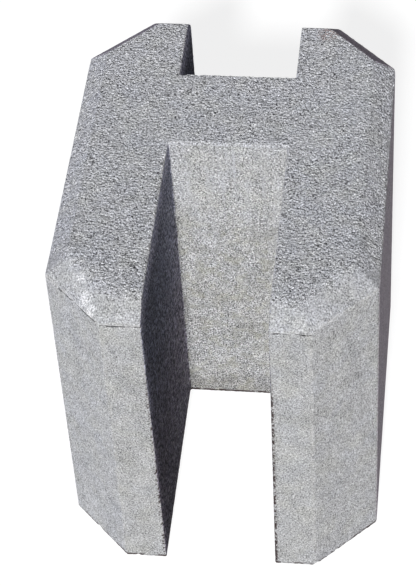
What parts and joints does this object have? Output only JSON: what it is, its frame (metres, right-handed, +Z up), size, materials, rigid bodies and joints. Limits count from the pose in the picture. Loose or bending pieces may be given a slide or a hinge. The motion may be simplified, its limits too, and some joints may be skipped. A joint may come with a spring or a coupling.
{
  "type": "fence plinth connector block",
  "caption": "Concrete block with an H-shaped plan: a deep slot at one end and a shallow one at the other, chamfered corners and a bevelled, pitted top.",
  "frame": {"origin": "centre of the bounding box's base, which is the face that the block stands on", "axes": "+Z up; X across the block, from slot wall to slot wall; +Y along it towards the shallow back slot, so that the deep slot opens at -Y"},
  "size_m": [0.168, 0.228, 0.2],
  "materials": {
    "cast_concrete": "dry-cast grey concrete: coarse and pitted on top, smooth mould skin on the sides"
  },
  "bodies": {
    "root": {"connector_block": "cast_concrete"}
  },
  "joints": []
}
